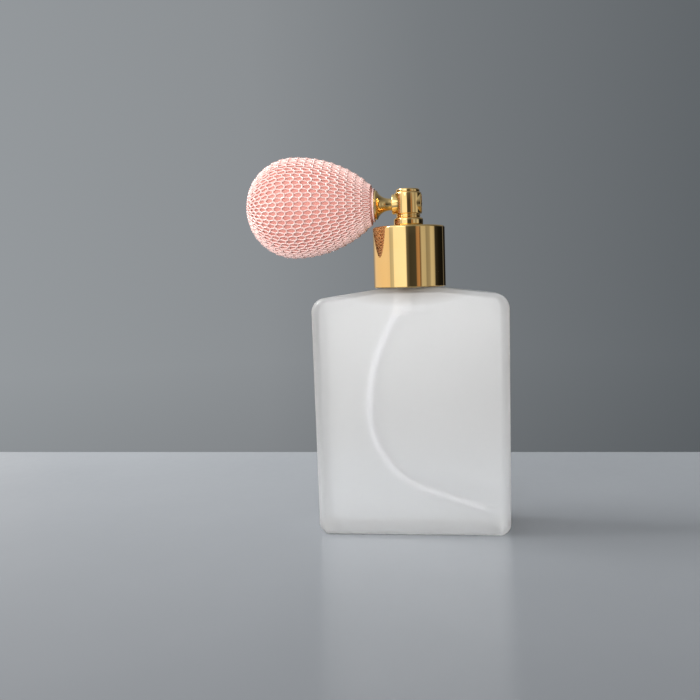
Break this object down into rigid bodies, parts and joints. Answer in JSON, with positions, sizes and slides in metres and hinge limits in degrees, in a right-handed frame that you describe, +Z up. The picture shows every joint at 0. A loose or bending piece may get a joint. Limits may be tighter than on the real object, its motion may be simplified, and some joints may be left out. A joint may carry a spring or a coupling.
{
  "type": "perfume atomiser",
  "caption": "Flat frosted glass perfume bottle with a gold screw collar and spray head, blown by a rubber squeeze bulb in a pink knotted net.",
  "frame": {"origin": "centre of the bottle's flat base, on the surface it stands on", "axes": "+Z up along the neck, +X out of the nozzle (the bulb points to -X), -Y out of the bottle's broad front"},
  "size_m": [0.0799, 0.031, 0.1162],
  "materials": {
    "frosted_glass": "acid-frosted outside",
    "gold_metal": "polished gold plate",
    "brass": "turned",
    "steel": "polished",
    "white_plastic": "moulded",
    "black_rubber": "matte",
    "pink_rubber": "matte",
    "pink_thread": "glossy twisted cord, knotted"
  },
  "bodies": {
    "bottle": {"glass_bottle": "frosted_glass"},
    "plug": {"neck_gasket": "white_plastic", "inner_plug": "white_plastic", "dip_tube": "white_plastic", "stem_o_ring": "black_rubber"},
    "collar": {"collar_shell": "gold_metal", "collar_liner": "white_plastic"},
    "head": {"stem": "brass", "lower_ring": "gold_metal", "head_body": "gold_metal", "top_cap": "gold_metal", "liquid_jet": "steel", "nozzle_seal": "black_rubber", "nozzle_insert": "brass", "nozzle_tip": "gold_metal", "connector_cone": "gold_metal", "outlet_valve_retainer": "white_plastic", "bulb_nipple": "brass", "ferrule_ring": "gold_metal", "bulb_washer": "black_rubber", "net_binding": "pink_thread", "intake_valve_body": "white_plastic", "intake_valve_retainer": "white_plastic"},
    "outlet_ball": {"outlet_valve_ball": "steel"},
    "intake_ball": {"intake_valve_ball": "steel"},
    "bulb_upper": {"bulb_rubber_upper": "pink_rubber", "bulb_net_upper": "pink_thread"},
    "bulb_lower": {"bulb_rubber_lower": "pink_rubber", "bulb_net_lower": "pink_thread"}
  },
  "joints": [
    {"name": "sprayer_lift", "type": "slide", "parent": "bottle", "child": "plug", "axis": [0, 0, 1], "range_m": [0, 0.00635], "deforming": ["dip_tube"]},
    {"name": "collar_turn", "type": "hinge", "parent": "plug", "child": "collar", "pos_m": [0, 0, 0.085], "axis": [0, 0, 1], "range_deg": [0, 720]},
    {"name": "head_swivel", "type": "hinge", "parent": "plug", "child": "head", "pos_m": [0, 0, 0.09], "axis": [0, 0, 1], "continuous": true},
    {"name": "bulb_squeeze_upper", "type": "slide", "parent": "head", "child": "bulb_upper", "axis": [0, 0, -1], "range_m": [0, 0.0055], "stiffness_N_per_m": 150, "springref_m": -0.002, "deforming": ["bulb_rubber_upper", "bulb_net_upper"]},
    {"name": "bulb_squeeze_lower", "type": "slide", "parent": "head", "child": "bulb_lower", "axis": [0, 0, 1], "range_m": [0, 0.0055], "stiffness_N_per_m": 150, "springref_m": -0.002, "deforming": ["bulb_rubber_lower", "bulb_net_lower"]},
    {"name": "outlet_valve_open", "type": "slide", "parent": "head", "child": "outlet_ball", "axis": [1, 0, 0], "range_m": [0, 0.0008]},
    {"name": "intake_valve_open", "type": "slide", "parent": "head", "child": "intake_ball", "axis": [1, 0, 0], "range_m": [0, 0.0007]}
  ],
  "couplings": [
    {"joint": "collar_turn", "follows": "sprayer_lift", "rad_per_m": 1979},
    {"joint": "bulb_squeeze_lower", "follows": "bulb_squeeze_upper", "ratio": 1}
  ]
}
